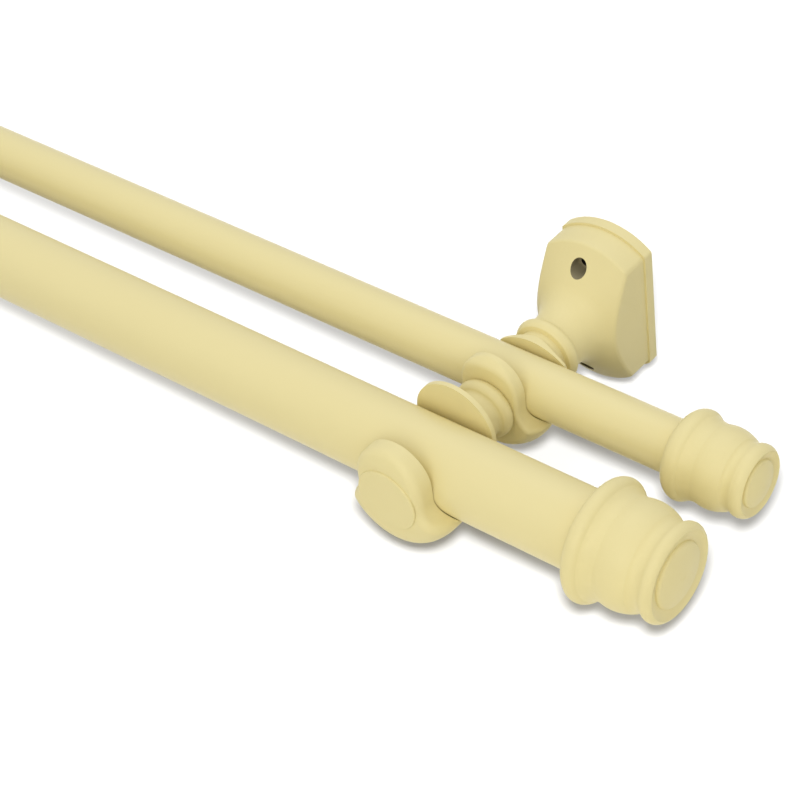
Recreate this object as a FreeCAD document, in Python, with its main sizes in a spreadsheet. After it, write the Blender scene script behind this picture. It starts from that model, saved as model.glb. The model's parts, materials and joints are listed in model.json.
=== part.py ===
import FreeCAD, Part
import math
import os

import Sketcher

# Double curtain pole: a thick pole in front, a thin pole behind it, on two brackets.
# The frame: X runs along the poles, the wall is the plane Y = 0 with the room on its -Y side,
# and Z = 0 is the height of the brackets' arms, just under the poles' own height.
# The origin is midway between the two brackets.

# Every size that can be set by itself, in millimetres unless the note says otherwise.
SIZES = [
    ("pole_length", 1200, "length of each pole"),
    ("pole_overhang", 67, "from a bracket's middle to the pole's end"),
    ("front_diameter", 28, "front pole, outside"),
    ("rear_diameter", 19, "rear pole, outside"),
    ("pole_wall", 1, "wall of both tubes"),
    ("rear_reach", 57, "wall to the rear pole's axis"),
    ("pole_spacing", 47, "rear pole's axis to the front pole's axis"),
    ("pole_lift", 1.2, "the poles' axes above the arm's axis"),
    ("cradle_clearance", 0.3, "gap between a pole and its cradle"),
    ("joint_clearance", 0.1, "gap round a screw or a plug in its bore"),
    ("flange_thickness", 4, "rose, plate against the wall"),
    ("rose_half_width", 17.4, "rose, middle to a straight side"),
    ("rose_corner_height", 23.4, "rose, middle to a corner"),
    ("rose_crown", 6.4, "rose, rise of the arched top and bottom"),
    ("rose_step", 0.6, "rose, block set in from the flange"),
    ("rose_corner", 2.6, "rose, rounded corners of the block"),
    ("flange_corner", 1.6, "rose, rounded corners of the flange"),
    ("rose_edge", 1.6, "rose, rounded ridge of the block"),
    ("trumpet_radius", 13.5, "rose, hollow of the trumpet beside the neck"),
    ("trumpet_angle", 54.5, "rose, end slope of the trumpet in degrees"),
    ("neck_radius", 10.8, "rose, thinnest turning"),
    ("neck_setback", 8, "rose, thinnest turning to the rose's end"),
    ("bead_rise", 1.8, "rose, bead at the end of the neck, above the neck"),
    ("bead_width", 4.8, "rose, bead along the arm"),
    ("recess_depth", 3, "rose, hollow of the back"),
    ("recess_rim", 2.5, "rose, rim round the hollow"),
    ("centre_boss", 7, "rose, radius of the middle boss in the hollow"),
    ("screw_boss", 4.6, "rose, radius of the screw bosses in the hollow"),
    ("wall_hole_height", 21.8, "rose, middle to a wall screw"),
    ("wall_hole_radius", 1.8, "rose, wall screw bore"),
    ("wall_head_radius", 3.1, "rose, room for the screw head"),
    ("wall_head_seat", 14.3, "wall to the seat of the screw head"),
    ("groove_radius", 9.6, "grooves between the turned rings"),
    ("groove_width", 1.1, "grooves between the turned rings, along the arm"),
    ("saucer_depth", 5.7, "rear holder, its wall-side end to the cradle"),
    ("saucer_radius", 14.2, "rear holder, wall behind the pole"),
    ("saucer_rim", 1.5, "rear holder, edge of that wall"),
    ("saucer_crown_radius", 20.4, "rear holder, arched top of that wall"),
    ("saucer_height", 0.8, "rear holder, top of that wall below the pole's top"),
    ("rear_waist_radius", 13, "rear holder, turning under the back of the pole"),
    ("rear_bowl_wall", 9.9, "rear holder, widest turning less the cradle's radius"),
    ("rear_bowl_offset", 6, "rear holder, pole axis to the widest turning"),
    ("rear_lip", 4.8, "rear holder, thickness of the front wall"),
    ("rear_bowl_swell", 1.4, "rear holder, curve before the pole as a share of its depth"),
    ("rear_shoulder", 2.6, "rear holder, rounding from that curve to the face"),
    ("rear_lip_half_width", 11.8, "rear holder, middle to a side of the front wall"),
    ("rear_lip_rise", 7.7, "rear holder, top of the front wall above the pole's top"),
    ("rear_foot_spread", 8, "rear holder, sweep of the foot below the pole's axis"),
    ("rear_lip_edge", 1.6, "rear holder, rounded front edge"),
    ("knuckle_rise", 2.5, "arm, bead in front of the rear holder, above the thinnest turning"),
    ("knuckle_width", 5, "arm, that bead along the arm"),
    ("knuckle_crown", 1.4, "arm, rise of that bead"),
    ("arm_neck_radius", 8.7, "arm, thinnest turning"),
    ("arm_neck_gap", 1.4, "arm, bead to the thinnest turning"),
    ("bell_rise", 5.8, "arm, bell above the pole's radius"),
    ("bell_rim", 2, "arm, edge of the bell"),
    ("bell_half_width", 15.8, "arm, middle to a side of the bell"),
    ("bell_foot_spread", 6.2, "arm, sweep of the bell's foot below the pole's axis"),
    ("front_waist", 4.3, "arm, turning under the back of the pole above its radius"),
    ("front_bowl_wall", 7.6, "arm, widest turning less the cradle's radius"),
    ("front_bowl_offset", 10.5, "arm, pole axis to the widest turning"),
    ("front_lip", 7.7, "arm, thickness of the front wall"),
    ("front_bowl_swell", 1.57, "arm, curve before the pole as a share of its depth"),
    ("front_shoulder", 8, "arm, rounding from that curve to the face"),
    ("front_lip_half_width", 13.2, "arm, middle to a side of the front wall"),
    ("front_lip_rise", 3.9, "arm, top of the front wall above the pole's top"),
    ("front_foot_spread", 9, "arm, sweep of the foot below the pole's axis"),
    ("front_lip_edge", 3.2, "arm, rounded front edge"),
    ("cap_radius", 11.7, "cap on the front wall"),
    ("cap_height", 0.7, "cap, how far it stands out"),
    ("cap_edge", 0.6, "cap, rounded edge"),
    ("cap_plug_radius", 4, "cap, plug in the front wall"),
    ("cap_plug_length", 4, "cap, length of that plug"),
    ("joint_screw_radius", 2, "screws that join the turnings, shank"),
    ("joint_head_radius", 3.7, "screws that join the turnings, head"),
    ("joint_head_height", 2, "screws that join the turnings, head along the arm"),
    ("joint_head_sink", 0.4, "screws that join the turnings, head below the cradle"),
    ("joint_slot_width", 1, "screws that join the turnings, cross recess"),
    ("joint_slot_depth", 1.1, "screws that join the turnings, depth of the recess"),
    ("rose_screw_bite", 20, "screw in the rose, length inside the rose"),
    ("arm_screw_bite", 12, "screw in the arm, length inside the arm"),
    ("lock_screw_radius", 2, "screws that lock the poles"),
    ("lock_screw_length", 5, "screws that lock the poles, length"),
    ("lock_socket_radius", 1.1, "screws that lock the poles, six-sided socket"),
    ("lock_socket_depth", 1.8, "screws that lock the poles, depth of the socket"),
    ("front_collar_rise", 7.4, "front finial, collar above the pole"),
    ("front_collar_start", 3.4, "front finial, collar's near face above the pole"),
    ("front_collar_peak", 3.2, "front finial, pole end to the collar's widest turning"),
    ("front_collar_waist", 6, "front finial, pole end to where the collar turns hollow"),
    ("front_collar_width", 10.4, "front finial, pole end to the groove"),
    ("front_barrel_rise", 4.5, "front finial, barrel above the pole"),
    ("front_barrel_width", 11.6, "front finial, groove to the barrel's far end"),
    ("front_barrel_taper", 1.8, "front finial, fall of the barrel at its far end"),
    ("front_cove_rise", 1.7, "front finial, cove above the pole"),
    ("front_cove_width", 5.2, "front finial, cove along the pole"),
    ("front_ring_rise", 3.1, "front finial, end ring above the pole"),
    ("front_ring_width", 4, "front finial, end ring along the pole"),
    ("front_ring_turn", 1.8, "front finial, end ring rounded toward its face"),
    ("front_button_gap", 3.8, "front finial, face of the ring to the button's edge"),
    ("rear_collar_rise", 6.3, "rear finial, collar above the pole"),
    ("rear_collar_start", 1.7, "rear finial, collar's near face above the pole"),
    ("rear_collar_peak", 5, "rear finial, pole end to the collar's widest turning"),
    ("rear_collar_waist", 7.4, "rear finial, pole end to where the collar turns hollow"),
    ("rear_collar_width", 11.6, "rear finial, pole end to the groove"),
    ("rear_barrel_rise", 4.7, "rear finial, barrel above the pole"),
    ("rear_barrel_width", 10.4, "rear finial, groove to the barrel's far end"),
    ("rear_barrel_taper", 1.5, "rear finial, fall of the barrel at its far end"),
    ("rear_cove_rise", 2.4, "rear finial, cove above the pole"),
    ("rear_cove_width", 3.6, "rear finial, cove along the pole"),
    ("rear_ring_rise", 3.2, "rear finial, end ring above the pole"),
    ("rear_ring_width", 4.4, "rear finial, end ring along the pole"),
    ("rear_ring_turn", 1.5, "rear finial, end ring rounded toward its face"),
    ("rear_button_gap", 2.8, "rear finial, face of the ring to the button's edge"),
    ("finial_groove", 0.5, "finials, depth of the groove beside the collar"),
    ("finial_groove_width", 0.8, "finials, width of that groove"),
    ("finial_dish", 1.2, "finials, button's edge behind the ring's face"),
    ("finial_button_step", 1.3, "finials, rounded edge of the button"),
    ("finial_dome", 1.2, "finials, rise of the button inside its edge"),
    ("spigot_length", 22, "finials, spigot in the pole"),
    ("spigot_wall", 2, "finials, wall of the spigot"),
    ("spigot_chamfer", 0.8, "finials, tapered end of the spigot"),
]

doc = FreeCAD.newDocument("DoubleCurtainPole")
sheet = doc.addObject("Spreadsheet::Sheet", "Sizes")
for row, (alias, value, note) in enumerate(SIZES, start=1):
    sheet.set("A%d" % row, note)
    sheet.set("B%d" % row, str(value))
    sheet.setAlias("B%d" % row, alias)
doc.recompute()

# Sizes that follow from the others, as expressions on the sheet.
FRONT_R = "(Sizes.front_diameter / 2)"
REAR_R = "(Sizes.rear_diameter / 2)"
FRONT_REACH = "(Sizes.rear_reach + Sizes.pole_spacing)"
FRONT_CHANNEL = "(%s + Sizes.cradle_clearance)" % FRONT_R
REAR_CHANNEL = "(%s + Sizes.cradle_clearance)" % REAR_R
BRACKET_X = "(Sizes.pole_length / 2 - Sizes.pole_overhang)"
CROWN_TOP = "(Sizes.rose_corner_height + Sizes.rose_crown)"
REAR_BACK_WALL = "(Sizes.rear_reach - %s)" % REAR_CHANNEL
REAR_FRONT_WALL = "(Sizes.rear_reach + %s)" % REAR_CHANNEL
REAR_FACE = "(%s + Sizes.rear_lip)" % REAR_FRONT_WALL
REAR_BOWL_RADIUS = "(%s + Sizes.rear_bowl_wall)" % REAR_CHANNEL
ROSE_END = "(%s - Sizes.saucer_depth)" % REAR_BACK_WALL
NECK_REACH = "(%s - Sizes.neck_setback)" % ROSE_END
FRONT_BACK_WALL = "(%s - %s)" % (FRONT_REACH, FRONT_CHANNEL)
FRONT_FRONT_WALL = "(%s + %s)" % (FRONT_REACH, FRONT_CHANNEL)
FRONT_FACE = "(%s + Sizes.front_lip)" % FRONT_FRONT_WALL
FRONT_BOWL_RADIUS = "(%s + Sizes.front_bowl_wall)" % FRONT_CHANNEL
BELL_RADIUS = "(%s + Sizes.bell_rise + Sizes.pole_lift)" % FRONT_R
HEAD_ROOM = "(Sizes.joint_head_height + Sizes.joint_head_sink)"
ROSE_SCREW_SEAT = "(%s - %s)" % (REAR_BACK_WALL, HEAD_ROOM)
ARM_SCREW_SEAT = "(%s + %s)" % (REAR_FRONT_WALL, HEAD_ROOM)
ROSE_SCREW_LENGTH = "(%s - %s + Sizes.rose_screw_bite)" % (ROSE_SCREW_SEAT, ROSE_END)
ARM_SCREW_LENGTH = "(%s - %s + Sizes.arm_screw_bite)" % (REAR_FACE, ARM_SCREW_SEAT)

PARTS = []


def size(expression):
    """The present value of an expression on the sheet, in millimetres."""
    return float(sheet.evalExpression(str(expression)))


def plane_of(body, role):
    """One of the body's own origin planes or axes."""
    for feature in body.Origin.OriginFeatures:
        if feature.Role == role:
            return feature
    raise ValueError(role)


def new_body(name):
    """An empty body whose label names its file."""
    body = doc.addObject("PartDesign::Body", name)
    body.Label = name
    PARTS.append(body)
    return body


def new_sketch(body, name, role, offset=None):
    """A sketch on one of the body's origin planes, or at an offset along its normal."""
    sketch = body.newObject("Sketcher::SketchObject", name)
    sketch.AttachmentSupport = [(plane_of(body, role), "")]
    sketch.MapMode = "FlatFace"
    if offset is not None:
        sketch.setExpression("AttachmentOffset.Base.z", offset)
    return sketch


def hold(sketch, kind, items, expression):
    """A sketch dimension bound to an expression."""
    index = sketch.addConstraint(Sketcher.Constraint(kind, *items, size(expression)))
    sketch.setExpression("Constraints[%d]" % index, expression)


def pin(sketch, item, end, along, up):
    """Hold one end of a line or arc at a place given by two expressions."""
    for kind, axis, expression in (("DistanceX", -2, along), ("DistanceY", -1, up)):
        value = size(expression)
        if abs(value) < 1e-7:
            sketch.addConstraint(Sketcher.Constraint("PointOnObject", item, end, axis))
        elif value > 0:
            hold(sketch, kind, (-1, 1, item, end), expression)
        else:
            hold(sketch, kind, (item, end, -1, 1), "-(%s)" % expression)


def arc_through(start, end, radius, left):
    """An arc between two points, bulging to the left or right of the way from start to end."""
    chord = end - start
    half = chord.Length / 2
    rise = radius - math.sqrt(max(radius * radius - half * half, 0))
    side = FreeCAD.Vector(-chord.y, chord.x, 0).normalize()
    if not left:
        side = side * -1
    return Part.Arc(start, (start + end) * 0.5 + side * rise, end)


def outline(sketch, points):
    """A closed outline through points, each given as two expressions.

    A third entry is the radius of the arc that leads to the point, and a fourth says on which
    side of the way there the arc bulges, left or right. Without them the way is straight.
    """
    places = [FreeCAD.Vector(size(point[0]), size(point[1]), 0) for point in points]
    count = len(points)
    for index in range(count):
        start = places[index - 1]
        end = places[index]
        point = points[index]
        if len(point) == 2:
            item = sketch.addGeometry(Part.LineSegment(start, end), False)
            ends = (1, 2)
        else:
            arc = arc_through(start, end, size(point[2]), point[3] == "left")
            item = sketch.addGeometry(arc, False)
            clockwise = point[3] == "left"
            ends = (2, 1) if clockwise else (1, 2)
            hold(sketch, "Radius", (item,), point[2])
        pin(sketch, item, ends[1], point[0], point[1])
        previous = points[index - 1]
        pin(sketch, item, ends[0], previous[0], previous[1])


def circle(sketch, along, up, radius):
    """A circle at a place given by expressions."""
    centre = FreeCAD.Vector(size(along), size(up), 0)
    item = sketch.addGeometry(Part.Circle(centre, FreeCAD.Vector(0, 0, 1), size(radius)), False)
    hold(sketch, "Radius", (item,), radius)
    pin(sketch, item, 3, along, up)


def turn(body, name, points, axis="V_Axis"):
    """A turned solid: an outline in the XY plane spun about one of its axes."""
    sketch = new_sketch(body, name + "_profile", "XY_Plane")
    outline(sketch, points)
    feature = body.newObject("PartDesign::Revolution", name)
    feature.Profile = sketch
    feature.ReferenceAxis = (sketch, [axis])
    feature.Angle = 360
    return feature


def through_cut(body, sketch, name):
    """A pocket through everything on both sides of its sketch."""
    feature = body.newObject("PartDesign::Pocket", name)
    feature.Profile = sketch
    feature.Type = 1
    feature.Midplane = True
    return feature


def depth_cut(body, sketch, name, depth, reverse):
    """A pocket of a given depth on one side of its sketch."""
    feature = body.newObject("PartDesign::Pocket", name)
    feature.Profile = sketch
    feature.Reversed = reverse
    feature.setExpression("Length", depth)
    return feature


def grow(body, sketch, name, length, reverse):
    """A pad of a given length on one side of its sketch."""
    feature = body.newObject("PartDesign::Pad", name)
    feature.Profile = sketch
    feature.Reversed = reverse
    feature.setExpression("Length", length)
    return feature


def bracket_place(body, side, reach="0", turn_angle=180):
    """Put a bracket piece at its distance from the wall: its local +Y points into the room."""
    turned = FreeCAD.Rotation(FreeCAD.Vector(0, 0, 1), turn_angle)
    body.Placement = FreeCAD.Placement(FreeCAD.Vector(0, 0, 0), turned)
    body.setExpression("Placement.Base.x", "%d * %s" % (side, BRACKET_X))
    body.setExpression("Placement.Base.y", "-(%s)" % reach)


def rose_points(inset):
    """The rose seen from the front: straight sides, arched top and bottom."""
    wide = "(Sizes.rose_half_width - %s)" % inset
    tall = "(Sizes.rose_corner_height - %s)" % inset
    arch = "((Sizes.rose_half_width ^ 2 + Sizes.rose_crown ^ 2) / (2 * Sizes.rose_crown) - %s)" % inset
    return [
        ("-" + wide, "-" + tall),
        (wide, "-" + tall, arch, "right"),
        (wide, tall),
        ("-" + wide, tall, arch, "right"),
    ]


def rise_radius(rise, run):
    """Radius of an arc that is level at one end and covers this rise in this run."""
    return "(((%s) ^ 2 + (%s) ^ 2) / (2 * (%s)))" % (rise, run, rise)


def soften(body, base, name, radius, wanted):
    """Round off the edges of a feature that a test picks out."""
    doc.recompute()
    names = []
    for index, edge in enumerate(base.Shape.Edges, start=1):
        if wanted(edge):
            names.append("Edge%d" % index)
    if not names:
        raise RuntimeError("no edge to round on %s" % name)
    feature = body.newObject("PartDesign::Fillet", name)
    feature.Base = (base, names)
    feature.setExpression("Radius", radius)
    return feature


def edge_points(edge):
    """A few points along an edge."""
    return edge.discretize(7)


def make_rose(side_name, side):
    """The wall rose: a flange, a block hollowed like a trumpet, a neck and a bead."""
    body = new_body("wall_rose_" + side_name)
    slope = "(Sizes.trumpet_angle * 1deg)"
    bend_reach = "(%s - Sizes.trumpet_radius * sin(%s))" % (NECK_REACH, slope)
    bend_radius = "(Sizes.neck_radius + Sizes.trumpet_radius * (1 - cos(%s)))" % slope
    outer = "(%s + 2)" % CROWN_TOP
    edge_reach = "(%s - (%s - %s) / tan(%s))" % (bend_reach, outer, bend_radius, slope)
    bead_start = "(%s - Sizes.bead_width)" % ROSE_END
    bead_peak = "(%s + 0.45 * Sizes.bead_width)" % bead_start
    bead_radius = "(Sizes.neck_radius + Sizes.bead_rise)"
    turn(body, "trumpet_" + side_name, [
        ("0", "0"),
        (outer, "0"),
        (outer, edge_reach),
        (bend_radius, bend_reach),
        ("Sizes.neck_radius", NECK_REACH, "Sizes.trumpet_radius", "left"),
        ("Sizes.neck_radius", bead_start),
        (bead_radius, bead_peak, "Sizes.bead_width * 0.6", "right"),
        ("%s - 0.7 * Sizes.bead_rise" % bead_radius, ROSE_END, "Sizes.bead_width * 0.7", "right"),
        ("0", ROSE_END),
    ])
    sides = new_sketch(body, "block_outline_" + side_name, "XZ_Plane")
    outline(sides, rose_points("Sizes.rose_step"))
    circle(sides, "0", "0", "(%s * 2)" % CROWN_TOP)
    block = through_cut(body, sides, "block_sides_" + side_name)
    wide = size("Sizes.rose_half_width - Sizes.rose_step")
    tall = size("Sizes.rose_corner_height - Sizes.rose_step")

    def on_corner(edge):
        return all(abs(abs(point.x) - wide) < 0.01 and abs(abs(point.z) - tall) < 0.01
                   for point in edge_points(edge))

    block = soften(body, block, "block_corners_" + side_name, "Sizes.rose_corner", on_corner)
    ridge_limit = size("Sizes.flange_thickness + 1")
    ridge_radius = size("Sizes.neck_radius + 2")

    def on_ridge(edge):
        for point in edge_points(edge):
            if point.y < ridge_limit or math.hypot(point.x, point.z) < ridge_radius:
                return False
        # The seam of the turning lies level with the axis and is left alone.
        return any(abs(point.z) > 0.01 for point in edge_points(edge))

    soften(body, block, "block_ridge_" + side_name, "Sizes.rose_edge", on_ridge)
    flange = new_sketch(body, "flange_outline_" + side_name, "XZ_Plane")
    outline(flange, rose_points("0"))
    plate = grow(body, flange, "flange_" + side_name, "Sizes.flange_thickness", True)
    rim_wide = size("Sizes.rose_half_width")
    rim_tall = size("Sizes.rose_corner_height")

    def on_plate_corner(edge):
        return all(abs(abs(point.x) - rim_wide) < 0.01 and abs(abs(point.z) - rim_tall) < 0.01
                   for point in edge_points(edge))

    soften(body, plate, "flange_corners_" + side_name, "Sizes.flange_corner", on_plate_corner)
    hollow = new_sketch(body, "recess_outline_" + side_name, "XZ_Plane")
    outline(hollow, rose_points("Sizes.recess_rim"))
    circle(hollow, "0", "0", "Sizes.centre_boss")
    depth_cut(body, hollow, "recess_" + side_name, "Sizes.recess_depth", False)
    bosses = new_sketch(body, "boss_circles_" + side_name, "XZ_Plane")
    bores = new_sketch(body, "wall_bores_" + side_name, "XZ_Plane")
    seats = new_sketch(body, "head_seats_" + side_name, "XZ_Plane", "-Sizes.wall_head_seat")
    for height in ("Sizes.wall_hole_height", "-Sizes.wall_hole_height"):
        circle(bosses, "0", height, "Sizes.screw_boss")
        circle(bores, "0", height, "Sizes.wall_hole_radius")
        circle(seats, "0", height, "Sizes.wall_head_radius")
    grow(body, bosses, "screw_bosses_" + side_name, "Sizes.recess_depth + 0.5", True)
    through_cut(body, bores, "wall_holes_" + side_name)
    depth_cut(body, seats, "head_rooms_" + side_name, ROSE_END, False)
    pilot = new_sketch(body, "pilot_circle_" + side_name, "XZ_Plane", "-%s" % ROSE_END)
    circle(pilot, "0", "0", "Sizes.joint_screw_radius + Sizes.joint_clearance")
    depth_cut(body, pilot, "pilot_" + side_name, "Sizes.rose_screw_bite + 1", True)
    bracket_place(body, side)


def trough(body, name, reach, radius):
    """The cradle for a pole: round below, open above, along X."""
    sketch = new_sketch(body, name + "_outline", "YZ_Plane")
    top = "(Sizes.pole_lift + %s * 3)" % radius
    near = "(%s - %s)" % (reach, radius)
    far = "(%s + %s)" % (reach, radius)
    outline(sketch, [
        (near, "Sizes.pole_lift"),
        (reach, "(Sizes.pole_lift - %s)" % radius, radius, "right"),
        (far, "Sizes.pole_lift", radius, "right"),
        (far, top),
        (near, top),
    ])
    return through_cut(body, sketch, name)


def wall_points(half_width, height, spread):
    """All that is cut off round a cradle wall: round top, upright sides, sweeping foot."""
    spring = "(Sizes.pole_lift + %s - %s)" % (height, half_width)
    foot = "(%s + %s)" % (half_width, spread)
    low = "(Sizes.pole_lift - %s)" % spread
    far = "(%s * 3)" % height
    return [
        ("-" + far, low),
        ("-" + foot, low),
        ("-" + half_width, "Sizes.pole_lift", spread, "right"),
        ("-" + half_width, spring),
        ("0", "(Sizes.pole_lift + %s)" % height, half_width, "left"),
        (half_width, spring, half_width, "left"),
        (half_width, "Sizes.pole_lift"),
        (foot, low, spread, "right"),
        (far, low),
        (far, far),
        ("-" + far, far),
    ]


def wall_cut(body, name, reach, points, outward):
    """Cut an outline away on one side of a distance from the wall."""
    sketch = new_sketch(body, name + "_outline", "XZ_Plane", "-%s" % reach)
    outline(sketch, points)
    feature = body.newObject("PartDesign::Pocket", name)
    feature.Profile = sketch
    feature.Type = 1
    feature.Reversed = not outward
    return feature


def screw_way(body, name, seat, outward):
    """A bore on the arm's axis with room for a screw head, opening into a cradle."""
    bore = new_sketch(body, name + "_bore_circle", "XZ_Plane", "-%s" % seat)
    circle(bore, "0", "0", "Sizes.joint_screw_radius + Sizes.joint_clearance")
    depth_cut(body, bore, name + "_bore", "Sizes.saucer_depth + Sizes.rear_lip", not outward)
    room = new_sketch(body, name + "_room_circle", "XZ_Plane", "-%s" % seat)
    circle(room, "0", "0", "Sizes.joint_head_radius + Sizes.joint_clearance")
    depth_cut(body, room, name + "_room", REAR_R, outward)


def lock_bore(body, name, reach):
    """The bore under a pole for its locking screw."""
    sketch = new_sketch(body, name + "_circle", "XY_Plane")
    circle(sketch, "0", reach, "Sizes.lock_screw_radius + Sizes.joint_clearance")
    feature = body.newObject("PartDesign::Pocket", name)
    feature.Profile = sketch
    feature.Type = 1
    return feature


def flare_points(start, end, low, high):
    """A turning that runs straight, sweeps up through a quarter circle and ends level."""
    bend = "(0.95 * min(%s - %s; %s - %s))" % (end, start, high, low)
    return [
        (low, "(%s - %s)" % (end, bend)),
        ("(%s + %s)" % (low, bend), end, bend, "left"),
        (high, end),
    ]


def bowl_front(widest, start, face, swell, shoulder):
    """The turning before a pole: a swelling curve, then a shoulder that runs into the face."""
    deep = "(%s - %s)" % (face, start)
    curve = "(%s * %s)" % (swell, deep)
    share = "(%s / (%s - %s))" % (curve, curve, shoulder)
    out = "sqrt((%s - %s) ^ 2 - (%s - %s) ^ 2)" % (curve, shoulder, deep, shoulder)
    return [
        ("(%s - %s + %s * %s)" % (widest, curve, out, share),
         "(%s + (%s - %s) * %s)" % (start, deep, shoulder, share), curve, "right"),
        ("(%s - %s + %s)" % (widest, curve, out), face, shoulder, "right"),
        ("0", face),
    ]


def lip_edges(half_width, height, spread, start):
    """A test for the edges where a front wall's sides meet its turned face."""
    wide = size(half_width)
    sweep = size(spread)
    lift = size("Sizes.pole_lift")
    spring = lift + size(height) - wide
    near = size(start)

    def wanted(edge):
        for point in edge_points(edge):
            if point.y < near:
                return False
            if point.z > spring:
                gap = math.hypot(point.x, point.z - spring) - wide
            elif point.z > lift:
                gap = abs(point.x) - wide
            else:
                gap = math.hypot(abs(point.x) - wide - sweep, point.z - lift) - sweep
            if abs(gap) > 0.02:
                return False
        return True
    return wanted


def make_rear_holder(side_name, side):
    """The cup for the rear pole: a low wall behind the pole and a bowl under and before it."""
    body = new_body("rear_holder_" + side_name)
    flare_start = "(%s + Sizes.groove_width)" % ROSE_END
    saucer_end = "(%s + 0.4)" % REAR_BACK_WALL
    saucer_start = "(%s - Sizes.saucer_rim)" % saucer_end
    waist = "(Sizes.rear_reach - 0.75 * %s)" % REAR_R
    bowl = "(Sizes.rear_reach + Sizes.rear_bowl_offset)"
    points = [
        ("0", ROSE_END),
        ("Sizes.groove_radius", ROSE_END),
    ]
    points += flare_points(flare_start, saucer_start, "Sizes.groove_radius", "Sizes.saucer_radius")
    points += [
        ("Sizes.saucer_radius", saucer_end),
        ("Sizes.rear_waist_radius", waist),
        (REAR_BOWL_RADIUS, bowl,
         rise_radius("%s - Sizes.rear_waist_radius" % REAR_BOWL_RADIUS,
                     "%s - %s" % (bowl, waist)), "right"),
    ]
    points += bowl_front(REAR_BOWL_RADIUS, bowl, REAR_FACE, "Sizes.rear_bowl_swell",
                         "Sizes.rear_shoulder")
    turn(body, "bowl_" + side_name, points)
    height = "(%s + Sizes.rear_lip_rise)" % REAR_R
    wall = wall_cut(body, "front_wall_" + side_name, "Sizes.rear_reach",
                    wall_points("Sizes.rear_lip_half_width", height, "Sizes.rear_foot_spread"),
                    True)
    soften(body, wall, "front_wall_edge_" + side_name, "Sizes.rear_lip_edge",
           lip_edges("Sizes.rear_lip_half_width", height, "Sizes.rear_foot_spread", bowl))
    crown = "(Sizes.pole_lift + %s - Sizes.saucer_height)" % REAR_R
    level = "(%s - Sizes.saucer_crown_radius)" % crown
    wide = "Sizes.saucer_crown_radius"
    wall_cut(body, "back_wall_" + side_name, "Sizes.rear_reach", [
        ("-" + wide, level),
        ("0", crown, wide, "left"),
        (wide, level, wide, "left"),
        (wide, "(%s * 3)" % height),
        ("-" + wide, "(%s * 3)" % height),
    ], False)
    trough(body, "cradle_" + side_name, "Sizes.rear_reach", REAR_CHANNEL)
    screw_way(body, "rose_screw_way_" + side_name, ROSE_SCREW_SEAT, False)
    screw_way(body, "arm_screw_way_" + side_name, ARM_SCREW_SEAT, True)
    lock_bore(body, "lock_bore_" + side_name, "Sizes.rear_reach")
    bracket_place(body, side)


def make_front_holder(side_name, side):
    """The arm: a bead, a neck, a bell and the big cup for the front pole."""
    body = new_body("front_holder_" + side_name)
    knuckle_end = "(%s + Sizes.knuckle_width)" % REAR_FACE
    knuckle_peak = "(%s + Sizes.knuckle_width / 2)" % REAR_FACE
    knuckle_radius = "(Sizes.arm_neck_radius + Sizes.knuckle_rise)"
    knuckle_side = "(%s - Sizes.knuckle_crown)" % knuckle_radius
    neck = "(%s + Sizes.arm_neck_gap)" % knuckle_end
    bell_end = "(%s + 0.2)" % FRONT_BACK_WALL
    bell_start = "(%s - Sizes.bell_rim)" % bell_end
    waist = "(%s + 1)" % FRONT_BACK_WALL
    waist_radius = "(%s + Sizes.front_waist)" % FRONT_R
    bowl = "(%s + Sizes.front_bowl_offset)" % FRONT_REACH
    knuckle_arc = rise_radius("Sizes.knuckle_crown", "Sizes.knuckle_width / 2")
    points = [
        ("0", REAR_FACE),
        (knuckle_side, REAR_FACE),
        (knuckle_radius, knuckle_peak, knuckle_arc, "right"),
        (knuckle_side, knuckle_end, knuckle_arc, "right"),
        ("Sizes.arm_neck_radius", neck,
         rise_radius("%s - Sizes.arm_neck_radius" % knuckle_side, "Sizes.arm_neck_gap"), "left"),
    ]
    points += flare_points(neck, bell_start, "Sizes.arm_neck_radius", BELL_RADIUS)
    points += [
        (BELL_RADIUS, bell_end),
        (waist_radius, waist),
        (FRONT_BOWL_RADIUS, bowl,
         rise_radius("%s - %s" % (FRONT_BOWL_RADIUS, waist_radius), "%s - %s" % (bowl, waist)),
         "right"),
    ]
    points += bowl_front(FRONT_BOWL_RADIUS, bowl, FRONT_FACE, "Sizes.front_bowl_swell",
                         "Sizes.front_shoulder")
    turn(body, "cup_" + side_name, points)
    height = "(%s + Sizes.front_lip_rise)" % FRONT_R
    wall = wall_cut(body, "front_wall_" + side_name, FRONT_REACH,
                    wall_points("Sizes.front_lip_half_width", height, "Sizes.front_foot_spread"),
                    True)
    soften(body, wall, "front_wall_edge_" + side_name, "Sizes.front_lip_edge",
           lip_edges("Sizes.front_lip_half_width", height, "Sizes.front_foot_spread", bowl))
    bell_height = "(%s + Sizes.bell_rise)" % FRONT_R
    wall_cut(body, "bell_sides_" + side_name, FRONT_REACH,
             wall_points("Sizes.bell_half_width", bell_height, "Sizes.bell_foot_spread"), False)
    trough(body, "cradle_" + side_name, FRONT_REACH, FRONT_CHANNEL)
    pilot = new_sketch(body, "pilot_circle_" + side_name, "XZ_Plane", "-%s" % REAR_FACE)
    circle(pilot, "0", "0", "Sizes.joint_screw_radius + Sizes.joint_clearance")
    depth_cut(body, pilot, "pilot_" + side_name, "Sizes.arm_screw_bite + 1", False)
    socket = new_sketch(body, "cap_socket_circle_" + side_name, "XZ_Plane", "-%s" % FRONT_FACE)
    circle(socket, "0", "0", "Sizes.cap_plug_radius + Sizes.joint_clearance")
    depth_cut(body, socket, "cap_socket_" + side_name, "Sizes.cap_plug_length + 0.3", True)
    lock_bore(body, "lock_bore_" + side_name, FRONT_REACH)
    bracket_place(body, side)


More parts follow.
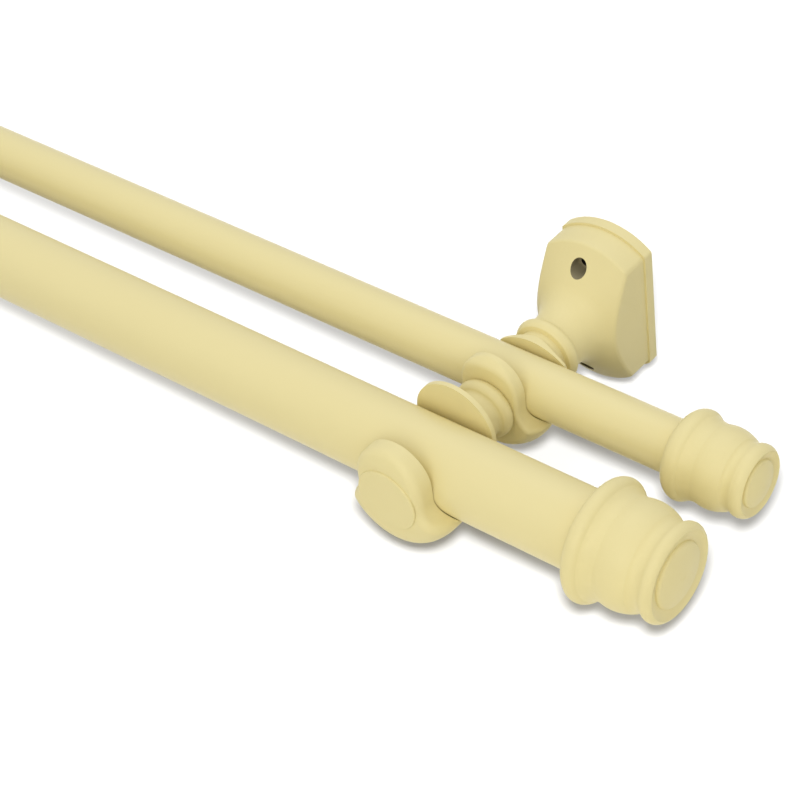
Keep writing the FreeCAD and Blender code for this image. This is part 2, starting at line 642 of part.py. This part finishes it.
def make_front_cap(side_name, side):
    """The round cap that closes the front wall, with its plug."""
    body = new_body("front_cap_" + side_name)
    turn(body, "cap_turning_" + side_name, [
        ("0", "-Sizes.cap_plug_length"),
        ("Sizes.cap_plug_radius", "-Sizes.cap_plug_length"),
        ("Sizes.cap_plug_radius", "0"),
        ("Sizes.cap_radius", "0"),
        ("Sizes.cap_radius", "Sizes.cap_height - Sizes.cap_edge"),
        ("Sizes.cap_radius - Sizes.cap_edge", "Sizes.cap_height", "Sizes.cap_edge", "right"),
        ("0", "Sizes.cap_height"),
    ])
    bracket_place(body, side, FRONT_FACE)


def make_joint_screw(name, side, seat, length, toward_wall):
    """A screw on the arm's axis: shank with a tapered tip, flat head with a cross recess."""
    body = new_body(name)
    turn(body, name + "_turning", [
        ("0", "-%s" % length),
        ("Sizes.joint_screw_radius * 0.4", "-%s" % length),
        ("Sizes.joint_screw_radius", "-(%s - Sizes.joint_screw_radius)" % length),
        ("Sizes.joint_screw_radius", "0"),
        ("Sizes.joint_head_radius", "0"),
        ("Sizes.joint_head_radius", "0.6 * Sizes.joint_head_height"),
        ("0.75 * Sizes.joint_head_radius", "Sizes.joint_head_height"),
        ("0", "Sizes.joint_head_height"),
    ])
    slot = new_sketch(body, name + "_slot_outline", "XZ_Plane", "-Sizes.joint_head_height")
    wide = "(0.55 * Sizes.joint_head_radius)"
    thin = "(0.5 * Sizes.joint_slot_width)"
    outline(slot, [
        ("-" + thin, "-" + wide), (thin, "-" + wide), (thin, "-" + thin), (wide, "-" + thin),
        (wide, thin), (thin, thin), (thin, wide), ("-" + thin, wide), ("-" + thin, thin),
        ("-" + wide, thin), ("-" + wide, "-" + thin), ("-" + thin, "-" + thin),
    ])
    depth_cut(body, slot, name + "_slot", "Sizes.joint_slot_depth", True)
    bracket_place(body, side, seat, 180 if toward_wall else 0)


def make_lock_screw(name, side, reach, pole_radius):
    """A short headless screw under a pole, pressed against it."""
    body = new_body(name)
    end = "-(%s + Sizes.lock_screw_length)" % pole_radius
    bottom = new_sketch(body, name + "_circle", "XY_Plane", end)
    circle(bottom, "0", "0", "Sizes.lock_screw_radius")
    grow(body, bottom, name + "_shank", "Sizes.lock_screw_length", False)
    socket = new_sketch(body, name + "_socket_outline", "XY_Plane", end)
    wide = "Sizes.lock_socket_radius"
    high = "(0.8660254 * Sizes.lock_socket_radius)"
    half = "(Sizes.lock_socket_radius / 2)"
    outline(socket, [
        (wide, "0"), (half, high), ("-" + half, high),
        ("-" + wide, "0"), ("-" + half, "-" + high), (half, "-" + high),
    ])
    depth_cut(body, socket, name + "_socket", "Sizes.lock_socket_depth", True)
    bracket_place(body, side, reach)
    body.setExpression("Placement.Base.z", "Sizes.pole_lift")


def make_pole(name, diameter, reach):
    """A round tube along X."""
    body = new_body(name)
    sketch = new_sketch(body, name + "_circles", "YZ_Plane")
    circle(sketch, "0", "0", "%s / 2" % diameter)
    circle(sketch, "0", "0", "%s / 2 - Sizes.pole_wall" % diameter)
    tube = grow(body, sketch, name + "_tube", "Sizes.pole_length", False)
    tube.Midplane = True
    body.setExpression("Placement.Base.y", "-%s" % reach)
    body.setExpression("Placement.Base.z", "Sizes.pole_lift")


def make_finial(which, side_name, side, pole_radius, reach):
    """A turned end piece: spigot, collar, groove, barrel, cove, ring and a buttoned end."""
    body = new_body("finial_%s_%s" % (which, side_name))
    own = "Sizes.%s_" % which
    outside = "(%s - Sizes.pole_wall - Sizes.joint_clearance)" % pole_radius
    inside = "(%s - Sizes.spigot_wall)" % outside
    near_face = "(%s + %scollar_start)" % (pole_radius, own)
    collar = "(%s + %scollar_rise)" % (pole_radius, own)
    barrel = "(%s + %sbarrel_rise)" % (pole_radius, own)
    groove = "(%s - Sizes.finial_groove)" % barrel
    collar_fall = "(%s - %s)" % (collar, groove)
    waist = "(%s - 0.5 * %s)" % (collar, collar_fall)
    groove_end = "(%scollar_width + Sizes.finial_groove_width)" % own
    barrel_end = "(%scollar_width + %sbarrel_width)" % (own, own)
    barrel_peak = "(%s + 0.35 * (%s - %s))" % (groove_end, barrel_end, groove_end)
    barrel_low = "(%s - %sbarrel_taper)" % (barrel, own)
    cove = "(%s + %scove_rise)" % (pole_radius, own)
    ring = "(%s + %sring_rise)" % (pole_radius, own)
    cove_peak = "(%s + 0.48 * %scove_width)" % (barrel_end, own)
    cove_end = "(%s + %scove_width)" % (barrel_end, own)
    ring_peak = "(%s + 0.35 * %sring_width)" % (cove_end, own)
    end = "(%s + %sring_width)" % (cove_end, own)
    ring_face = "(%s - %sring_turn)" % (ring, own)
    ring_side = "(%s + 0.7 * (%s - %s))" % (cove, ring, cove)
    button = "(%s - %sbutton_gap)" % (ring_face, own)
    button_edge = "(%s - Sizes.finial_dish)" % end
    button_top = "(%s + Sizes.finial_button_step)" % button_edge
    turn(body, "turning_%s_%s" % (which, side_name), [
        ("1", "0"),
        ("1", inside),
        ("-Sizes.spigot_length", inside),
        ("-Sizes.spigot_length", "%s - Sizes.spigot_chamfer" % outside),
        ("-(Sizes.spigot_length - Sizes.spigot_chamfer)", outside),
        ("0", outside),
        ("0", near_face),
        (own + "collar_peak", collar,
         rise_radius("%s - %s" % (collar, near_face), own + "collar_peak"), "left"),
        (own + "collar_waist", waist,
         rise_radius("0.5 * %s" % collar_fall, "%scollar_waist - %scollar_peak" % (own, own)),
         "left"),
        (own + "collar_width", groove,
         rise_radius("0.5 * %s" % collar_fall, "%scollar_width - %scollar_waist" % (own, own)),
         "right"),
        (groove_end, groove),
        (barrel_peak, barrel,
         rise_radius("Sizes.finial_groove", "%s - %s" % (barrel_peak, groove_end)), "left"),
        (barrel_end, barrel_low,
         rise_radius(own + "barrel_taper", "%s - %s" % (barrel_end, barrel_peak)), "left"),
        (cove_peak, cove,
         rise_radius("%s - %s" % (barrel_low, cove), "%s - %s" % (cove_peak, barrel_end)),
         "right"),
        (cove_end, ring_side,
         rise_radius("%s - %s" % (ring_side, cove), "%s - %s" % (cove_end, cove_peak)), "right"),
        (ring_peak, ring,
         rise_radius("%s - %s" % (ring, ring_side), "%s - %s" % (ring_peak, cove_end)), "left"),
        (end, ring_face,
         rise_radius(own + "ring_turn", "%s - %s" % (end, ring_peak)), "left"),
        (button_edge, button,
         rise_radius("Sizes.finial_dish", own + "button_gap"), "right"),
        (button_top, "(%s - Sizes.finial_button_step)" % button, "Sizes.finial_button_step",
         "left"),
        ("%s + Sizes.finial_dome" % button_top, "0",
         rise_radius("Sizes.finial_dome", "%s - Sizes.finial_button_step" % button), "left"),
    ], "H_Axis")
    turned = FreeCAD.Rotation(FreeCAD.Vector(0, 0, 1), 0 if side > 0 else 180)
    body.Placement = FreeCAD.Placement(FreeCAD.Vector(0, 0, 0), turned)
    body.setExpression("Placement.Base.x", "%d * Sizes.pole_length / 2" % side)
    body.setExpression("Placement.Base.y", "-%s" % reach)
    body.setExpression("Placement.Base.z", "Sizes.pole_lift")


make_pole("front_pole", "Sizes.front_diameter", FRONT_REACH)
make_pole("rear_pole", "Sizes.rear_diameter", "Sizes.rear_reach")
for side_name, side in (("left", -1), ("right", 1)):
    make_rose(side_name, side)
    make_rear_holder(side_name, side)
    make_front_holder(side_name, side)
    make_front_cap(side_name, side)
    make_joint_screw("rose_screw_" + side_name, side, ROSE_SCREW_SEAT, ROSE_SCREW_LENGTH, True)
    make_joint_screw("extension_screw_" + side_name, side, ARM_SCREW_SEAT, ARM_SCREW_LENGTH, False)
    make_lock_screw("rear_lock_screw_" + side_name, side, "Sizes.rear_reach", REAR_R)
    make_lock_screw("front_lock_screw_" + side_name, side, FRONT_REACH, FRONT_R)
    make_finial("front", side_name, side, FRONT_R, FRONT_REACH)
    make_finial("rear", side_name, side, REAR_R, "Sizes.rear_reach")
doc.recompute()

for item in doc.Objects:
    bad = [word for word in item.State if word in ("Invalid", "Error")]
    if bad:
        raise RuntimeError("%s is %s" % (item.Name, bad))
for part in PARTS:
    if part.Shape.isNull() or not part.Shape.isValid() or len(part.Shape.Solids) != 1:
        raise RuntimeError("%s has no single valid solid" % part.Label)

os.makedirs("parts", exist_ok=True)
for part in PARTS:
    part.Shape.exportStep("parts/%s.step" % part.Label)
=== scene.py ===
import json
import math

import bmesh
import bpy
from mathutils import Matrix, Vector


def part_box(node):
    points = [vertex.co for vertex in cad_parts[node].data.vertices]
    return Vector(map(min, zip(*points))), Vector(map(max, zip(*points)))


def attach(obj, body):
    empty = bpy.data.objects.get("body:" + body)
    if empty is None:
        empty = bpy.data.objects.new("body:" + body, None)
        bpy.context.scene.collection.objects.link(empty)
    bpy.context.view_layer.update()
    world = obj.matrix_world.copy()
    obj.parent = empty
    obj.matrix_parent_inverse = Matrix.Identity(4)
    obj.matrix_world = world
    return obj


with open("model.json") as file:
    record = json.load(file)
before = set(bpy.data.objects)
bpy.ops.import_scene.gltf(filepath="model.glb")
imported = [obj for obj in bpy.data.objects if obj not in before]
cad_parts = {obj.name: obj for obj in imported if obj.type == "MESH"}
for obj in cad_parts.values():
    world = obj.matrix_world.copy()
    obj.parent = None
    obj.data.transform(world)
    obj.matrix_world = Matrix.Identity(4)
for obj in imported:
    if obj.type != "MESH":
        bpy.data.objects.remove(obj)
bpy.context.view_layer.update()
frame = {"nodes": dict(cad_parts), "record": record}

MILLIMETRE = 0.001

# The pattern of the wall screws, as the frame's record states it.
WALL_SCREWS = next(mount["dims"] for mount in frame["record"]["mounts"]
                   if mount["name"] == "wall_screws")

# The bracket nearest the camera, and the sheet of paper under the part, in metres.
BRACKET_X = WALL_SCREWS["spacing_x_mm"] / 2 * MILLIMETRE
PAPER_HEIGHT = -0.040
PAPER_HALF_WIDTH = 6.0

# The camera: where it stands, which way it looks in degrees, its lens and sensor in millimetres,
# and the nearest thing that it sees, in metres.
CAMERA_PLACE = Vector((0.9249, -0.5123, 0.5227))
CAMERA_AZIMUTH = 44.50
CAMERA_ELEVATION = 41.17
CAMERA_ROLL = -8.26
CAMERA_LENS = 106.02
SENSOR_WIDTH = 36.0
NEAREST_SEEN = 0.01

# The light: an even sky, a broad lamp over the back of the poles, a broad warm fill from the
# room, and a small lamp just above the camera that lights the paper alone, for the short shadow
# along the part's lower edges. All three lamps face one point.
LIT_MIDDLE = Vector((BRACKET_X - 0.02, -0.07, 0.0))
SKY_STRENGTH = 0.69
SKY_SEEN = 1.0
KEY_PLACE = Vector((0.25, 0.55, 1.45))
KEY_SIZE = 1.4
KEY_POWER = 4.9
FILL_PLACE = Vector((1.08, -1.34, 1.00))
FILL_SIZE = 1.5
FILL_POWER = 9.9
FILL_COLOUR = (1.0, 0.97, 0.87)
SHADOW_LAMP_UP = 0.063
SHADOW_LAMP_LEFT = 0.003
SHADOW_LAMP_SIZE = 0.090
SHADOW_LAMP_POWER = 14.2

# The paper: the share of the light that it sends to the camera, the smaller and warmer share that
# it sends to the part, how bright it has to look, how bright the room's light is on it, and the
# least that it glows. The glow makes up for the small lamp's falling light away from the part.
PAPER_SEEN = 0.45
PAPER_BOUNCE = (0.25, 0.24, 0.20, 1.0)
PAPER_WHITE = 1.22
PAPER_ROOM_LIGHT = 0.95
PAPER_LEAST_GLOW = 0.05

# The wall-screw holes of the roses, in metres, which bound the painted shade inside them: their
# height, and then, each a hair past the real one so that it holds it, where the head's room ends and
# the radii of that room and of the bore.
SCREW_HOLE_HEIGHT = WALL_SCREWS["spacing_y_mm"] / 2 * MILLIMETRE
HEAD_SEAT_Y = -0.0140
HEAD_ROOM_RADIUS = 0.00313
BORE_SLACK = 0.00005
SCREW_BORE_RADIUS = WALL_SCREWS["hole_r_mm"] * MILLIMETRE + BORE_SLACK

# The threads of the screws that join the turnings: their sizes in metres, the share of a screw
# that is threaded, how finely its ridge is drawn, and how near two points count as one.
SHANK_RADIUS = 0.0020
TIP_TAPER = 0.0020
THREAD_PITCH = 0.0015
THREAD_CREST = 0.00032
THREADED_SHARE = 0.72
POINTS_A_TURN = 20
RIDGE_SIDES = 4
SAME_POINT = 1e-6

# How far the marks in a finish stand out at full strength, in metres, and how much longer they
# are along a tube than round it.
SKIN_DEPTH = 0.0002
TUBE_STRETCH = 4.0

# Colours as light on a linear scale.
CREAM = (0.806, 0.714, 0.377, 1.0)
CREAM_DEEP = (0.784, 0.688, 0.352, 1.0)
# Painted shade in the wall-screw holes: a dull brown-grey in the head's room, and a near-black
# painted shadow in the bore.
HOLE_ROOM_SHADE = (0.27, 0.235, 0.145, 1.0)
BORE_SHADOW = (0.015, 0.013, 0.010, 1.0)
ZINC = (0.62, 0.62, 0.60, 1.0)
ZINC_DULL = (0.50, 0.50, 0.47, 1.0)
WHITE = (1.0, 1.0, 1.0, 1.0)


class Value:
    """What a socket gives, built up with ordinary arithmetic; without one, a tree to start in."""

    def __init__(self, tree, socket=None):
        self.tree = tree
        self.socket = socket

    def node(self, kind, settings=None, inputs=None, output=0):
        """Add any other node; settings come first, then the values or links of its sockets."""
        made = self.tree.nodes.new(kind)
        for key, value in (settings or {}).items():
            setattr(made, key, value)
        for key, value in (inputs or {}).items():
            if isinstance(value, Value):
                value.feed(made.inputs[key])
            else:
                made.inputs[key].default_value = value
        return Value(self.tree, made.outputs[output])

    def feed(self, socket):
        """Link this value to a socket."""
        self.tree.links.new(self.socket, socket)

    def maths(self, operation, *terms):
        """Add a Math node for these terms, this value among them."""
        return self.node("ShaderNodeMath", {"operation": operation}, dict(enumerate(terms)))

    def vector_maths(self, operation, output, *terms):
        """Add a Vector Math node for these terms, this value among them."""
        settings = {"operation": operation}
        return self.node("ShaderNodeVectorMath", settings, dict(enumerate(terms)), output)

    def at_least(self, least):
        """This value, or the least where it is below that."""
        return self.maths("MAXIMUM", self, least)

    def below(self, limit):
        """One where this value is below a limit, and nought elsewhere."""
        return self.maths("LESS_THAN", self, limit)

    def __add__(self, other):
        return self.maths("ADD", self, other)

    def __radd__(self, other):
        return self.maths("ADD", other, self)

    def __sub__(self, other):
        return self.maths("SUBTRACT", self, other)

    def __rsub__(self, other):
        return self.maths("SUBTRACT", other, self)

    def __mul__(self, other):
        return self.maths("MULTIPLY", self, other)

    def __rmul__(self, other):
        return self.maths("MULTIPLY", other, self)

    def __truediv__(self, other):
        return self.maths("DIVIDE", self, other)

    def __rtruediv__(self, other):
        return self.maths("DIVIDE", other, self)


def new_tree(holder):
    """The node tree of a new material or world, turned on first."""
    holder.use_nodes = True
    return holder.node_tree


def object_place(tree):
    """The place of each point on a piece."""
    return Value(tree).node("ShaderNodeTexCoord", output="Object")


def new_material(name):
    """A new material, its surface shader, and the place of each point."""
    material = bpy.data.materials.new(name)
    tree = new_tree(material)
    return material, tree.nodes["Principled BSDF"], object_place(tree)


def noise(place, waves, detail):
    """Soft random mottling, from 0 to 1, with so many waves to a metre."""
    return place.node("ShaderNodeTexNoise", None, {"Vector": place, "Scale": waves, "Detail": detail})


def two_tone(tone_a, tone_b, mask):
    """A colour between two, by a mask."""
    return mask.node("ShaderNodeMix", {"data_type": "RGBA"},
                     {"Factor": mask, "A": tone_a, "B": tone_b}, "Result")


def set_roughness(shader, mottle, least, swing):
    """Let the roughness vary from its least by a mottle of 0 to 1."""
    roughness = least + swing * mottle
    roughness.feed(shader.inputs["Roughness"])


def raise_skin(shader, marks, other_marks, other_share, strength):
    """Let two sets of marks stand out from a surface, the other set by a share of the first."""
    height = marks + other_share * other_marks
    bump = height.node("ShaderNodeBump", None,
                       {"Height": height, "Strength": strength, "Distance": SKIN_DEPTH})
    bump.feed(shader.inputs["Normal"])


def set_gloss(shader, specular, coat, coat_roughness):
    """How strongly a surface mirrors, and its clear coat."""
    shader.inputs["Specular IOR Level"].default_value = specular
    shader.inputs["Coat Weight"].default_value = coat
    shader.inputs["Coat Roughness"].default_value = coat_roughness


def paint_shade_in_screw_holes(place, colour):
    """Paint shade inside the wall-screw holes: dull brown-grey in the head's room, near black in the
    bore.
    """
    along, depth, height = [
        place.node("ShaderNodeSeparateXYZ", None, {"Vector": place}, axis) for axis in "XYZ"
    ]
    aside = along.maths("ABSOLUTE", along) - BRACKET_X
    above = height.maths("ABSOLUTE", height) - SCREW_HOLE_HEIGHT
    squares = aside * aside + above * above
    distance = squares.maths("SQRT", squares)
    room = distance.below(HEAD_ROOM_RADIUS) * depth.below(HEAD_SEAT_Y)
    bore = distance.below(SCREW_BORE_RADIUS)
    # Painted shade in the head's room and painted shadow in the bore, over the moulding's colour.
    return two_tone(two_tone(colour, HOLE_ROOM_SHADE, room), BORE_SHADOW, bore)


def cream_moulding(name, with_painted_hole_shade=False):
    """Satin cream plastic: a faint cloud in the colour and the fine skin of a moulding."""
    material, shader, place = new_material(name)
    colour = two_tone(CREAM, CREAM_DEEP, noise(place, waves=55.0, detail=3.0))
    # Painted shade in the wall-screw holes, standing in for the dark of their hollows.
    if with_painted_hole_shade:
        colour = paint_shade_in_screw_holes(place, colour)
    colour.feed(shader.inputs["Base Color"])
    set_roughness(shader, noise(place, waves=160.0, detail=2.0), least=0.42, swing=0.12)
    fine_skin = noise(place, waves=1400.0, detail=2.0)
    soft_skin = noise(place, waves=380.0, detail=1.0)
    raise_skin(shader, fine_skin, soft_skin, other_share=0.6, strength=0.25)
    set_gloss(shader, specular=0.24, coat=0.03, coat_roughness=0.25)
    return material


def cream_tube():
    """Satin cream coating on a steel tube: smooth, with a faint ripple along the tube."""
    material, shader, place = new_material("cream_tube")
    along = place.node("ShaderNodeMapping", None,
                       {"Vector": place, "Scale": (1.0 / TUBE_STRETCH, 1.0, 1.0)})
    colour = two_tone(CREAM, CREAM_DEEP, noise(along, waves=45.0, detail=3.0))
    colour.feed(shader.inputs["Base Color"])
    set_roughness(shader, noise(along, waves=120.0, detail=2.0), least=0.36, swing=0.10)
    ripple = noise(along, waves=420.0, detail=2.0)
    fine_skin = noise(place, waves=1500.0, detail=1.0)
    raise_skin(shader, ripple, fine_skin, other_share=0.5, strength=0.18)
    set_gloss(shader, specular=0.30, coat=0.06, coat_roughness=0.20)
    return material


def zinc_screw():
    """Bright zinc plate with a faint mottle."""
    material, shader, place = new_material("zinc_screw")
    colour = two_tone(ZINC, ZINC_DULL, noise(place, waves=900.0, detail=3.0))
    colour.feed(shader.inputs["Base Color"])
    set_roughness(shader, noise(place, waves=1600.0, detail=2.0), least=0.28, swing=0.15)
    shader.inputs["Metallic"].default_value = 1.0
    return material


def dress_nodes(zinc):
    """Give every CAD piece its finish."""
    finishes = {
        "coated_tube": cream_tube(),
        "moulding": cream_moulding("cream_moulding"),
        "screw_steel": zinc,
    }
    # The roses carry painted shade in their wall-screw holes.
    rose_finish = cream_moulding("cream_rose", with_painted_hole_shade=True)
    slots = {entry["node"]: entry["material_slot"] for entry in frame["record"]["subparts"]}
    for name, piece in frame["nodes"].items():
        finish = rose_finish if name.startswith("wall_rose") else finishes[slots[name]]
        for slot in piece.material_slots:
            slot.material = finish


def thread_tree():
    """Geometry Nodes that wind a thread's ridge round a screw's shank, along Z from nought."""
    tree = bpy.data.node_groups.new("wound_thread", "GeometryNodeTree")
    tree.interface.new_socket("Thread", in_out="OUTPUT", socket_type="NodeSocketGeometry")
    sizes = ("Length", "Shank Radius", "Pitch", "Crest")
    for name in sizes:
        tree.interface.new_socket(name, in_out="INPUT", socket_type="NodeSocketFloat")
    tree.interface.new_socket("Finish", in_out="INPUT", socket_type="NodeSocketMaterial")
    length, radius, pitch, crest, finish = [
        Value(tree).node("NodeGroupInput", output=name) for name in sizes + ("Finish",)
    ]
    winding = length.node("GeometryNodeCurveSpiral", None, {
        "Resolution": POINTS_A_TURN,
        "Rotations": length / pitch,
        "Start Radius": radius,
        "End Radius": radius,
        "Height": length,
    })
    ridge = crest.node("GeometryNodeCurvePrimitiveCircle", None,
                       {"Resolution": RIDGE_SIDES, "Radius": crest})
    wound = winding.node("GeometryNodeCurveToMesh", None,
                         {"Curve": winding, "Profile Curve": ridge, "Fill Caps": True})
    whole = wound.node("GeometryNodeRealizeInstances", None, {"Geometry": wound})
    finished = whole.node("GeometryNodeSetMaterial", None, {"Geometry": whole, "Material": finish})
    finished.feed(tree.nodes.new("NodeGroupOutput").inputs["Thread"])
    return tree


def mesh_from_tree(name, tree, inputs):
    """An object whose plain mesh is what a Geometry Nodes tree makes from its inputs."""
    host = bpy.data.objects.new(name, bpy.data.meshes.new(name))
    bpy.context.scene.collection.objects.link(host)
    winder = host.modifiers.new("winder", "NODES")
    winder.node_group = tree
    for item in tree.interface.items_tree:
        if item.name in inputs:
            winder[item.identifier] = inputs[item.name]
    ready = host.evaluated_get(bpy.context.evaluated_depsgraph_get())
    mesh = bpy.data.meshes.new_from_object(ready)
    host.modifiers.remove(winder)
    host.data = mesh
    return host


def turn_outwards(mesh):
    """Turn a closed mesh's faces outwards."""
    shape = bmesh.new()
    shape.from_mesh(mesh)
    bmesh.ops.remove_doubles(shape, verts=shape.verts, dist=SAME_POINT)
    bmesh.ops.recalc_face_normals(shape, faces=shape.faces)
    shape.to_mesh(mesh)
    shape.free()


def wind_thread(tree, screw, tip_to_wall, finish):
    """The thread of one screw that lies along the arm, from its tip towards its head."""
    low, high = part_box(screw)
    host = mesh_from_tree(screw + "_thread", tree, {
        "Length": THREADED_SHARE * (high[1] - low[1]),
        "Shank Radius": SHANK_RADIUS,
        "Pitch": THREAD_PITCH,
        "Crest": THREAD_CREST,
        "Finish": finish,
    })
    start = high[1] - TIP_TAPER if tip_to_wall else low[1] + TIP_TAPER
    middle = Vector(((low[0] + high[0]) / 2, start, (low[2] + high[2]) / 2))
    quarter_turn = math.radians(90 if tip_to_wall else -90)
    host.data.transform(Matrix.Translation(middle) @ Matrix.Rotation(quarter_turn, 4, "X"))
    turn_outwards(host.data)
    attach(host, "root")


def wind_threads(finish):
    """The threads of the four screws that join the turnings."""
    tree = thread_tree()
    for side in ("left", "right"):
        wind_thread(tree, "rose_screw_" + side, tip_to_wall=True, finish=finish)
        wind_thread(tree, "extension_screw_" + side, tip_to_wall=False, finish=finish)


def camera_axes():
    """The camera's right, up and backward directions."""
    azimuth = math.radians(CAMERA_AZIMUTH)
    elevation = math.radians(CAMERA_ELEVATION)
    roll = math.radians(CAMERA_ROLL)
    back = Vector((math.sin(azimuth) * math.cos(elevation),
                   -math.cos(azimuth) * math.cos(elevation),
                   math.sin(elevation)))
    right = Vector((math.cos(azimuth), math.sin(azimuth), 0.0))
    up = back.cross(right)
    turned_right = right * math.cos(roll) + up * math.sin(roll)
    turned_up = up * math.cos(roll) - right * math.sin(roll)
    return turned_right, turned_up, back


def shadow_lamp_place():
    """Where the small lamp stands, just above the camera."""
    right, up, _ = camera_axes()
    return CAMERA_PLACE + up * SHADOW_LAMP_UP - right * SHADOW_LAMP_LEFT


def by_ray(lighting, showing):
    """One surface for the rays that light the part, and another for those that are seen.

    A ray is seen where it comes from the camera, a reflection or clear glass.
    """
    camera, mirror, glass = [
        showing.node("ShaderNodeLightPath", output=name)
        for name in ("Is Camera Ray", "Is Glossy Ray", "Is Transmission Ray")
    ]
    seen = camera.at_least(mirror).at_least(glass)
    return seen.node("ShaderNodeMixShader", None, {0: seen, 1: lighting, 2: showing})


def paper_glow(place):
    """The paper's own light: what the room and the small lamp leave it short of white.

    The lamp's light falls with the square of the reach, and each of its two slants, at the lamp
    and on the paper, is a length divided by the reach.
    """
    lamp = shadow_lamp_place()
    facing = (LIT_MIDDLE - lamp).normalized()
    away = place.vector_maths("SUBTRACT", "Vector", place, tuple(lamp))
    ahead = away.vector_maths("DOT_PRODUCT", "Value", away, tuple(facing))
    reach = away.vector_maths("LENGTH", "Value", away)
    strength = SHADOW_LAMP_POWER / math.pi ** 2 * (lamp.z - PAPER_HEIGHT)
    lamp_light = strength * ahead.at_least(0.0) / reach.maths("POWER", reach, 4.0)
    missing = PAPER_WHITE - PAPER_SEEN * (PAPER_ROOM_LIGHT + lamp_light)
    return missing.at_least(PAPER_LEAST_GLOW)


def white_paper():
    """Paper that looks white and keeps the part's shadow, and lights the part gently."""
    material = bpy.data.materials.new("white_paper")
    tree = new_tree(material)
    tree.nodes.remove(tree.nodes["Principled BSDF"])
    glow = paper_glow(object_place(tree))
    grey = glow.node("ShaderNodeCombineColor", None, {"Red": glow, "Green": glow, "Blue": glow})
    own_light = grey.node("ShaderNodeEmission", None, {"Color": grey})
    bounce, face = [
        Value(tree).node("ShaderNodeBsdfDiffuse", None, {"Color": colour})
        for colour in (PAPER_BOUNCE, (PAPER_SEEN, PAPER_SEEN, PAPER_SEEN, 1.0))
    ]
    showing = face.node("ShaderNodeAddShader", None, {0: face, 1: own_light})
    by_ray(bounce, showing).feed(tree.nodes["Material Output"].inputs["Surface"])
    return material


def lay_paper():
    """A pale sheet of paper just under the part."""
    half = PAPER_HALF_WIDTH
    corners = [(-half, -half), (half, -half), (half, half), (-half, half)]
    mesh = bpy.data.meshes.new("paper")
    mesh.from_pydata([(x, y, PAPER_HEIGHT) for x, y in corners], [], [(0, 1, 2, 3)])
    mesh.update()
    mesh.materials.append(white_paper())
    paper = bpy.data.objects.new("paper", mesh)
    bpy.context.scene.collection.objects.link(paper)
    return paper


def white_sky():
    """A sky that lights the part evenly and looks white."""
    world = bpy.data.worlds.new("studio")
    bpy.context.scene.world = world
    tree = new_tree(world)
    tree.nodes.remove(tree.nodes["Background"])
    lighting, showing = [
        Value(tree).node("ShaderNodeBackground", None, {"Color": WHITE, "Strength": strength})
        for strength in (SKY_STRENGTH, SKY_SEEN)
    ]
    by_ray(lighting, showing).feed(tree.nodes["World Output"].inputs["Surface"])


def area_lamp(name, place, size, power):
    """A soft round lamp at a place, facing the middle of what is lit."""
    data = bpy.data.lights.new(name, "AREA")
    data.shape = "DISK"
    data.size = size
    data.energy = power
    lamp = bpy.data.objects.new(name, data)
    lamp.location = place
    lamp.rotation_euler = (LIT_MIDDLE - place).to_track_quat("-Z", "Y").to_euler()
    bpy.context.scene.collection.objects.link(lamp)
    return lamp


def light_the_part(paper):
    """An even sky, the two broad lamps, and the small lamp for the paper's shadow."""
    white_sky()
    area_lamp("key_lamp", KEY_PLACE, KEY_SIZE, KEY_POWER)
    fill_lamp = area_lamp("fill_lamp", FILL_PLACE, FILL_SIZE, FILL_POWER)
    fill_lamp.data.color = FILL_COLOUR
    place = shadow_lamp_place()
    shadow_lamp = area_lamp("shadow_lamp", place, SHADOW_LAMP_SIZE, SHADOW_LAMP_POWER)
    paper_alone = bpy.data.collections.new("paper_alone")
    paper_alone.objects.link(paper)
    shadow_lamp.light_linking.receiver_collection = paper_alone


def make_camera():
    """The camera at the photograph's angle."""
    data = bpy.data.cameras.new("camera")
    data.lens = CAMERA_LENS
    data.sensor_width = SENSOR_WIDTH
    data.clip_start = NEAREST_SEEN
    camera = bpy.data.objects.new("camera", data)
    turn = Matrix(camera_axes()).transposed().to_4x4()
    camera.matrix_world = Matrix.Translation(CAMERA_PLACE) @ turn
    bpy.context.scene.collection.objects.link(camera)
    bpy.context.scene.camera = camera


zinc = zinc_screw()
dress_nodes(zinc)
wind_threads(zinc)
light_the_part(lay_paper())
make_camera()
bpy.context.scene.view_settings.view_transform = "Standard"
